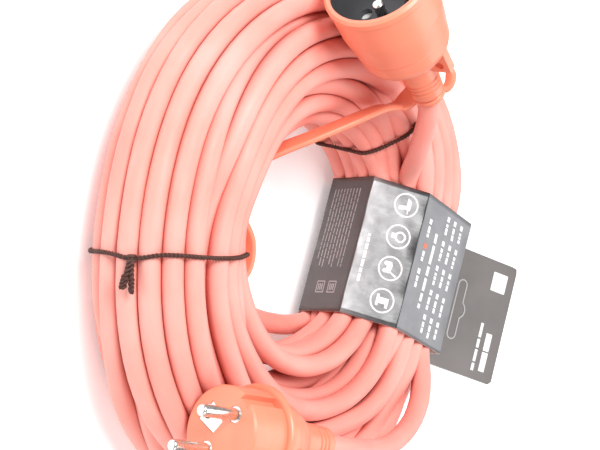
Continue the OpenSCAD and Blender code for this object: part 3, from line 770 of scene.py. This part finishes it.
def tie_path(azimuth, skip_start=0.0):
    """The line of a tie drawn tight round the turns at an azimuth, as (radius, height).

    The first part of the cable, the loose end with the socket, can be left out."""
    a = math.radians(azimuth)
    side = cable_line @ np.array([-math.sin(a), math.cos(a), 0.0])
    out = cable_line @ np.array([math.cos(a), math.sin(a), 0.0])
    cut = np.where((side[:-1] * side[1:] <= 0) & (out[:-1] > 0) & (travelled[:-1] > skip_start))[0]
    t = (side[cut] / (side[cut] - side[cut + 1]))[:, None]
    crossing = cable_line[cut] * (1 - t) + cable_line[cut + 1] * t
    centres = np.stack([np.hypot(crossing[:, 0], crossing[:, 1]), crossing[:, 2]], -1)
    a = np.arange(24) * math.pi / 12
    ring = np.stack([np.cos(a), np.sin(a)], -1) * (CABLE_R + 0.75)
    edge = hull((centres[:, None] + ring[None]).reshape(-1, 2))
    edge[:, 1] = np.maximum(edge[:, 1], 0.9)
    return resampled(edge, 0.55, closed=True)


def make_tie(name, node, azimuth, knot_rz, tails, skip_start=0.0):
    path, at = tie_path(azimuth, skip_start), azimuth
    for _ in range(6):
        path = 0.5 * path + 0.25 * (np.roll(path, 1, 0) + np.roll(path, -1, 0))
    ca, sa = math.cos(math.radians(at)), math.sin(math.radians(at))
    tangent = np.array([-sa, ca, 0.0])
    outward = np.array([ca, sa, 0.0])
    loop = np.stack([path[:, 0] * ca, path[:, 0] * sa, path[:, 1]], -1)
    i = int(np.argmin(np.linalg.norm(path - np.array(knot_rz), axis=1)))
    # the wire bows a little along the cable, and is drawn towards its knot
    a = np.linspace(0, 2 * math.pi, len(loop), endpoint=False)
    steps_off = np.abs(np.arange(len(loop)) - i)
    pulled = np.exp(-(np.minimum(steps_off, len(loop) - steps_off) / 16.0) ** 2)
    loop += ((0.9 * np.sin(a + 0.6) + 0.5 * np.sin(3 * a))[:, None] * tangent
             + 2.2 * pulled[:, None] * tangent * tails[0][3])
    parts = twisted(loop, True, 0.52, 3.1)
    knot = loop[i]
    away_from = unit(loop[i] - np.array([79 * ca, 79 * sa, 28]))
    up_wire = unit(loop[(i + 3) % len(loop)] - loop[i - 3])
    for n, (along, side, out, _) in enumerate(tails):
        base = knot + away_from * 0.6
        p1 = base + tangent * along * 0.25 + up_wire * side * 0.6 + away_from * 1.4
        p2 = base + tangent * along * 0.62 + up_wire * side * 0.9 + away_from * (1.0 + out * 0.4)
        p3 = base + tangent * along + up_wire * side * (1.1 + 0.25 * n) + away_from * out
        line = resampled(spline([base - tangent * 0.8, p1, p2, p3], 10), 0.45)
        parts += twisted(line, False, 0.62, 3.4, phase=n * 1.3)
        # the wire is doubled back over its own end
        back = (line[-1] + np.linspace(0, -0.42, 12)[:, None] * (line[-1] - line[0]) + away_from * 0.9
                + up_wire * (0.8 - 1.6 * n))
        parts += twisted(np.vstack([line[-3:] + away_from * 0.3, back]), False, 0.5, 2.8, phase=0.4)
    # two tight turns of the wire make the knot
    for shift in (-0.9, 0.9):
        t = np.linspace(0, 2 * math.pi, 18, endpoint=False)
        coil = knot + away_from * 0.7 + up_wire * shift * 0.2 + tangent * shift + 1.35 * (
            np.cos(t)[:, None] * away_from + np.sin(t)[:, None] * up_wire)
        wa = headings(coil, True)
        across = unit(np.cross(wa, tangent))
        parts.append(sweep_mesh(coil * MM, across, np.cross(across, wa), ring_section(0.6, 7) * MM, closed=True))
    tie = joined(name, parts)
    tie.data.materials.append(MATERIALS["tie_brown"])
    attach(tie, "cord")
    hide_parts(node)


# ---------------------------------------------------------------- the card

TAB_W, TAB_LEN, TAB_T, TAB_RISE, SLOT_AT = 60.0, 68.0, 1.2, 23.0, 39.0
SLEEVE_AXIS = np.array([math.cos(math.radians(SLEEVE_TURN)), math.sin(math.radians(SLEEVE_TURN)), 0.0])
SLEEVE_SIDE = np.array([-SLEEVE_AXIS[1], SLEEVE_AXIS[0], 0.0])


def sleeve_point(along, y, z):
    """From the sleeve's own place (along the bundle, outwards, up) to the model's."""
    along, y, z = np.broadcast_arrays(np.asarray(along, float), y, z)
    return along[..., None] * SLEEVE_AXIS + y[..., None] * SLEEVE_SIDE + z[..., None] * WORLD_UP


def folded_outline(inset, r):
    """The card's closed outline with rounded folds, with the number of the panel of each point."""
    pts = SLEEVE_OUTLINE
    n = len(pts)
    centre = pts.mean(0)
    lines = []
    for i in range(n):
        a, b = pts[i], pts[(i + 1) % n]
        d = (b - a) / np.linalg.norm(b - a)
        nrm = np.array([d[1], -d[0]])
        if (centre - a) @ nrm < 0:
            nrm = -nrm
        lines.append((a + nrm * inset, d, nrm))
    out, panel = [], []
    for i in range(n):
        (a0, d0, n0), (a1, d1, _) = lines[i - 1], lines[i]
        m = np.array([d0, -d1]).T
        corner = a0 + d0 * np.linalg.solve(m, a1 - a0)[0]
        bend = math.acos(np.clip(d0 @ d1, -1, 1))
        rr = max(r - inset, 0.35)
        cut = rr * math.tan(bend / 2)
        start, end = corner - d0 * cut, corner + d1 * cut
        mid = start + n0 * rr
        v0, v1 = start - mid, end - mid
        for k in range(6):
            t = k / 5
            v = v0 * math.sin((1 - t) * bend) / math.sin(bend) + v1 * math.sin(t * bend) / math.sin(bend)
            out.append(mid + v)
            panel.append((i - 1) % n if k < 3 else i)
        length = np.linalg.norm(pts[(i + 1) % n] - pts[i]) - 2 * cut
        for k in range(1, 6):
            out.append(end + d1 * length * k / 6)
            panel.append(i)
    return np.array(out), np.array(panel)


def sag(along, s):
    """How far the card's skin stands off its flat panel, in millimetres."""
    return 0.28 * np.sin(along / 9.0 + s * 0.35) * np.sin(s * 0.21 + 1.0) + 0.12 * np.sin(along / 3.1 + s)


def make_card():
    outer, panel = folded_outline(0.0, 1.6)
    inner, _ = folded_outline(CARD_T, 1.6)
    m = len(outer)
    xs = np.linspace(*SLEEVE_ENDS, 29)
    centre = SLEEVE_OUTLINE.mean(0)
    rings_out, rings_in = [], []
    s = np.arange(m) * 1.0
    for x in xs:
        off = 0.5 * sag(x, s)[:, None] * unit(outer - centre)
        off[(outer[:, 1] < 8)] = 0
        rings_out.append(sleeve_point(x, *(outer + off).T))
        rings_in.append(sleeve_point(x, *(inner + off).T))
    verts = np.concatenate(rings_out + rings_in) * MM
    n = len(xs)
    faces, mats, uv = [], [], []
    look = {0: 0, 1: 1, 2: 2}

    def quad(a, b, c, d, mat, t):
        faces.append((a, b, c, d))
        mats.append(mat)
        uv.extend(t)
    for i in range(n - 1):
        for k in range(m):
            k2 = (k + 1) % m
            t = [(xs[i] * MM, k / m), (xs[i + 1] * MM, k / m), (xs[i + 1] * MM, (k + 1) / m), (xs[i] * MM, (k + 1) / m)]
            quad(i * m + k, (i + 1) * m + k, (i + 1) * m + k2, i * m + k2, look.get(int(panel[k]), 2), t)
            b = n * m
            quad(b + i * m + k2, b + (i + 1) * m + k2, b + (i + 1) * m + k, b + i * m + k, 3, t[::-1])
    for k in range(m):
        k2 = (k + 1) % m
        b = n * m
        quad(k2, b + k2, b + k, k, 3, [(0, 0)] * 4)
        e = (n - 1) * m
        quad(e + k, b + e + k, b + e + k2, e + k2, 3, [(0, 0)] * 4)
    card = mesh_object("card_wrap", verts, faces, uv)
    for name in ("card_dark", "card_foil", "card_grey", "card_board"):
        card.data.materials.append(MATERIALS[name])
    card.data.polygons.foreach_set("material_index", mats)
    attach(card, "cord")
    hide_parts("card_sleeve")
    return outer, panel


def tab_point(x, y, z):
    """On the hang tab: along the bundle from its middle, out from the fold, and up from its lower face."""
    c, k = math.cos(math.radians(TAB_RISE)), math.sin(math.radians(TAB_RISE))
    x, y, z = np.broadcast_arrays(np.asarray(x, float), y, z)
    curl = 0.00035 * (y * y)
    z = z + curl
    fold = SLEEVE_OUTLINE[4]
    return sleeve_point(x + (SLEEVE_ENDS[0] + SLEEVE_ENDS[1]) / 2, fold[0] + y * c - z * k, fold[1] + y * k + z * c)


def euro_slot(grow):
    """Outline of the hanging slot: a bar with rounded ends and a rounded bump over its middle."""
    w, h, r = 15.0 - grow, 2.5 - grow, 4.6 - grow
    out = []
    for k in range(9):
        a = math.radians(-90 + 180 * k / 8)
        out.append((w - h + h * math.cos(a), h * math.sin(a)))
    a0 = math.asin(min(h / r, 1))
    for k in range(11):
        a = a0 + (math.pi - 2 * a0) * k / 10
        out.append((r * math.cos(a), r * math.sin(a)))
    for k in range(9):
        a = math.radians(90 + 180 * k / 8)
        out.append((-w + h + h * math.cos(a), h * math.sin(a)))
    return np.array(out) + [0, SLOT_AT]


def plate(outline, holes, low, high, place):
    """A flat plate from an outline and holes, as closed geometry."""
    from mathutils.geometry import tessellate_polygon
    loops = [np.asarray(outline, float)] + [np.asarray(h, float) for h in holes]
    flat = np.vstack(loops)
    tris = tessellate_polygon([[Vector((x, y, 0)) for x, y in loop] for loop in loops])
    n = len(flat)
    verts = np.vstack([place(flat[:, 0], flat[:, 1], low), place(flat[:, 0], flat[:, 1], high)]) * MM
    faces = []
    for a, b, c in tris:
        area = np.cross(flat[b] - flat[a], flat[c] - flat[a])
        if area < 0:
            b, c = c, b
        faces.append((a + n, b + n, c + n))
        faces.append((c, b, a))
    start = 0
    for h, loop in enumerate(loops):
        m = len(loop)
        x, y = loop[:, 0], loop[:, 1]
        ccw = (x * np.roll(y, -1) - np.roll(x, -1) * y).sum() > 0
        for k in range(m):
            a, b = start + k, start + (k + 1) % m
            if ccw != (h > 0):
                faces.append((a, b, b + n, a + n))
            else:
                faces.append((b, a, a + n, b + n))
        start += m
    uv = [(verts[i][0], verts[i][1]) for f in faces for i in f]
    return verts, faces, uv


def rounded_rect(x0, y0, x1, y1, r, steps=5):
    out = []
    for cx, cy, a0 in ((x1 - r, y1 - r, 0), (x0 + r, y1 - r, 90), (x0 + r, y0 + r, 180), (x1 - r, y0 + r, 270)):
        for k in range(steps + 1):
            a = math.radians(a0 + 90 * k / steps)
            out.append((cx + r * math.cos(a), cy + r * math.sin(a)))
    return np.array(out)


def disc(x, y, r, n=20):
    a = np.arange(n) * 2 * math.pi / n
    return np.stack([x + r * np.cos(a), y + r * np.sin(a)], -1)


def make_tab():
    edge = rounded_rect(-TAB_W / 2, 0.4, TAB_W / 2, TAB_LEN, 1.6)
    # more points along the edges let the tab curl
    edge = resampled(edge, 2.5, closed=True)
    body = plate(edge, [euro_slot(0.0)], 0, TAB_T, tab_point)
    flap = plate(euro_slot(0.28), [], -0.12, TAB_T - 0.12, tab_point)
    tab = joined("card_tab", [body], smooth=False)
    tab.data.materials.append(MATERIALS["card_tab"])
    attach(tab, "cord")
    line = plate(euro_slot(-0.18), [euro_slot(0.42)[::-1]], TAB_T - 0.1, TAB_T + 0.05, tab_point)
    mark = joined("card_slot_line", [line], smooth=False)
    mark.data.materials.append(MATERIALS["print_grey"])
    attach(mark, "cord")
    knock = joined("card_slot_piece", [flap], smooth=False)
    knock.data.materials.append(MATERIALS["card_tab"])
    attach(knock, "cord")
    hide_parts("slot_knockout")


def make_print(outer, panel):
    """Generic printing: bars for lines of small print, plain squares, and simple pictures in rings."""
    white, orange = [], []
    X0 = (SLEEVE_ENDS[0] + SLEEVE_ENDS[1]) / 2

    def on_panel(i):
        a, b = SLEEVE_OUTLINE[i], SLEEVE_OUTLINE[i + 1]
        d = (b - a) / np.linalg.norm(b - a)
        nrm = np.array([-d[1], d[0]])
        if nrm @ (a - SLEEVE_OUTLINE.mean(0)) < 0:
            nrm = -nrm
        mine = np.where(panel == i)[0]
        s_of = (outer[mine] - a) @ d

        def place(x, y, z):
            x, y, z = np.broadcast_arrays(np.asarray(x, float), y, z)
            k = np.interp(y, s_of, mine)
            q = a + y[..., None] * d
            off = 0.5 * sag(x + X0, k)
            q = q + (z + off)[..., None] * nrm
            return sleeve_point(x + X0, q[..., 0], q[..., 1])
        return place

    def add(shapes, outline, holes, place):
        shapes.append(plate(outline, holes, -0.1, 0.07, place))

    def bar(place, x0, x1, s0, s1, shapes=white):
        n = max(int((x1 - x0) / 3), 1)
        xs = np.linspace(x0, x1, n + 1)
        outline = np.vstack([np.stack([xs, np.full(n + 1, s0)], -1), np.stack([xs[::-1], np.full(n + 1, s1)], -1)])
        add(shapes, outline, [], place)

    rng = np.random.default_rng(5)

    def words(place, x0, x1, s0, s1, word, gap, shapes=white):
        """A line of small print as bars of uneven length."""
        x = x0
        while x < x1 - 0.8:
            w = min(word * rng.uniform(0.5, 1.5), x1 - x)
            bar(place, x, x + w, s0, s1, shapes)
            x += w + gap

    fine = []
    p1 = on_panel(0)
    for row in range(9):
        s0 = 4.0 + row * 2.2
        words(p1, -26, 11 if row % 3 else 7, s0, s0 + 0.5, 3.2, 0.5, fine)
    for s0 in (8.5, 16.5):
        add(fine, rounded_rect(17.5, s0, 23.0, s0 + 5.5, 0.3, 1),
            [rounded_rect(18.0, s0 + 0.5, 22.5, s0 + 5.0, 0.2, 1)[::-1]], p1)
        for q in range(3):
            bar(p1, 18.8, 21.8, s0 + 1.2 + 1.2 * q, s0 + 1.8 + 1.2 * q, fine)
    p2 = on_panel(1)
    words(p2, -6, 17, 4.2, 5.5, 2.4, 0.6)
    for n, x in enumerate((-23.0, -8.2, 6.6, 21.4)):
        s0 = 17.6
        add(white, disc(x, s0, 5.6, 36), [disc(x, s0, 4.9, 36)[::-1]], p2)
        if n == 0:      # a drill
            for o in ([(-3.4, 0.3), (2.2, 0.3), (2.2, 2.2), (-2.2, 2.2)],
                      [(0.2, 0.2), (2.0, 0.2), (2.6, -3.2), (0.9, -3.2)],
                      [(2.3, 0.9), (4.0, 1.1), (4.0, 1.4), (2.3, 1.6)]):
                add(white, np.array(o) + [x, s0], [], p2)
        elif n == 1:    # a lamp
            add(white, disc(x, s0 + 0.9, 2.6), [disc(x, s0 + 0.9, 1.7)[::-1]], p2)
            add(white, np.array([(-1.2, -3.2), (1.2, -3.2), (1.2, -1.3), (-1.2, -1.3)]) + [x, s0], [], p2)
        elif n == 2:    # a mower
            add(white, np.array([(-3.0, -1.8), (2.2, -1.8), (2.2, 0.2), (-1.2, 0.9), (-3.0, 0.2)]) + [x, s0], [], p2)
            add(white, np.array([(1.2, 0.3), (1.9, 0.3), (3.5, 3.1), (2.8, 3.4)]) + [x, s0], [], p2)
            add(white, disc(x - 2.0, s0 - 2.3, 1.0, 14), [], p2)
            add(white, disc(x + 1.4, s0 - 2.3, 1.0, 14), [], p2)
        else:           # a pump
            add(white, np.array([(-2.6, -2.8), (2.6, -2.8), (2.6, -1.6), (1.4, -1.6), (1.4, 1.6), (3.0, 1.6),
                                 (3.0, 2.9), (-1.4, 2.9), (-1.4, -1.6), (-2.6, -1.6)]) + [x, s0], [], p2)
    p3 = on_panel(2)
    words(p3, -17, 18, 13.0, 15.2, 6.5, 1.2)
    for row, s0 in enumerate((5.5, 20.5, 27.0, 33.5)):
        for col in range(5 if row else 3):
            x = -27.5 + col * 11.6 + (6.0 if row == 0 else 0)
            bar(p3, x, x + 2.3, s0, s0 + 2.3, orange if (row, col) == (0, 1) else white)
            words(p3, x + 3.4, x + 9.2, s0 + 0.2, s0 + 2.1, 2.3, 0.5)
    def on_tab(x, y, z):
        return tab_point(x, y, TAB_T + z)
    add(white, rounded_rect(-24.5, 55.0, -15.0, 63.5, 0.3, 1), [], on_tab)
    bar(on_tab, -23.5, -16.0, 58.6, 59.8, orange)
    words(on_tab, 6, 26, 59.0, 62.4, 7.5, 0.7)
    words(on_tab, 2, 26, 54.6, 56.2, 5.0, 0.9)
    for name, parts, material in (("card_print_white", white, "print_white"), ("card_print_fine", fine, "print_grey"),
                                  ("card_print_orange", orange, "print_orange")):
        obj = joined(name, parts, smooth=False)
        obj.data.materials.append(MATERIALS[material])
        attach(obj, "cord")


make_strap()
make_tie("tie_near_wire", "tie_near", TIE_NEAR_AT, (108, 37), [(12.5, 1.0, 1.6, 1), (11.0, -1.0, 3.0, 1)])
make_tie("tie_far_wire", "tie_far", TIE_FAR_AT, (76, 56), [(3.5, 1.0, 1.5, 0), (-3.5, -1.0, 1.5, 0)], skip_start=200.0)
print_places = make_card()
make_tab()
make_print(*print_places)

# ---------------------------------------------------------------- stage


def studio():
    s = Shader("floor_paper", (0.93, 0.93, 0.93), 0.7, Emission_Color=(1, 1, 1, 1), Emission_Strength=0.3)
    s.color(s.ramp(s.noise(3, 2), [(0.3, (0.92, 0.92, 0.92)), (0.7, (0.94, 0.94, 0.94))]))
    size = 3.0
    floor = mesh_object("floor", [(-size, -size, 0), (size, -size, 0), (size, size, 0), (-size, size, 0)],
                        [(0, 1, 2, 3)], smooth=False)
    floor.data.materials.append(s.material)
    world = bpy.data.worlds.new("studio")
    world.use_nodes = True
    world.node_tree.nodes["Background"].inputs[0].default_value = (1, 1, 1, 1)
    world.node_tree.nodes["Background"].inputs[1].default_value = WORLD_LIGHT
    bpy.context.scene.world = world
    for name, place, aim, width, power in (
            ("key", (-0.5, -0.55, 0.95), (0, 0, 0.03), 0.55, 15),
            ("fill", (0.75, -0.35, 0.7), (0, 0, 0.03), 0.8, 3.5),
            ("back", (0.1, 0.8, 0.75), (0, 0, 0.03), 0.8, 5)):
        lamp = bpy.data.lights.new(name, "AREA")
        lamp.shape = "SQUARE"
        lamp.size = width
        lamp.energy = power
        obj = bpy.data.objects.new(name, lamp)
        bpy.context.scene.collection.objects.link(obj)
        obj.location = place
        obj.rotation_euler = (Vector(aim) - Vector(place)).to_track_quat("-Z", "Y").to_euler()
    bpy.context.scene.view_settings.view_transform = "Standard"


studio()
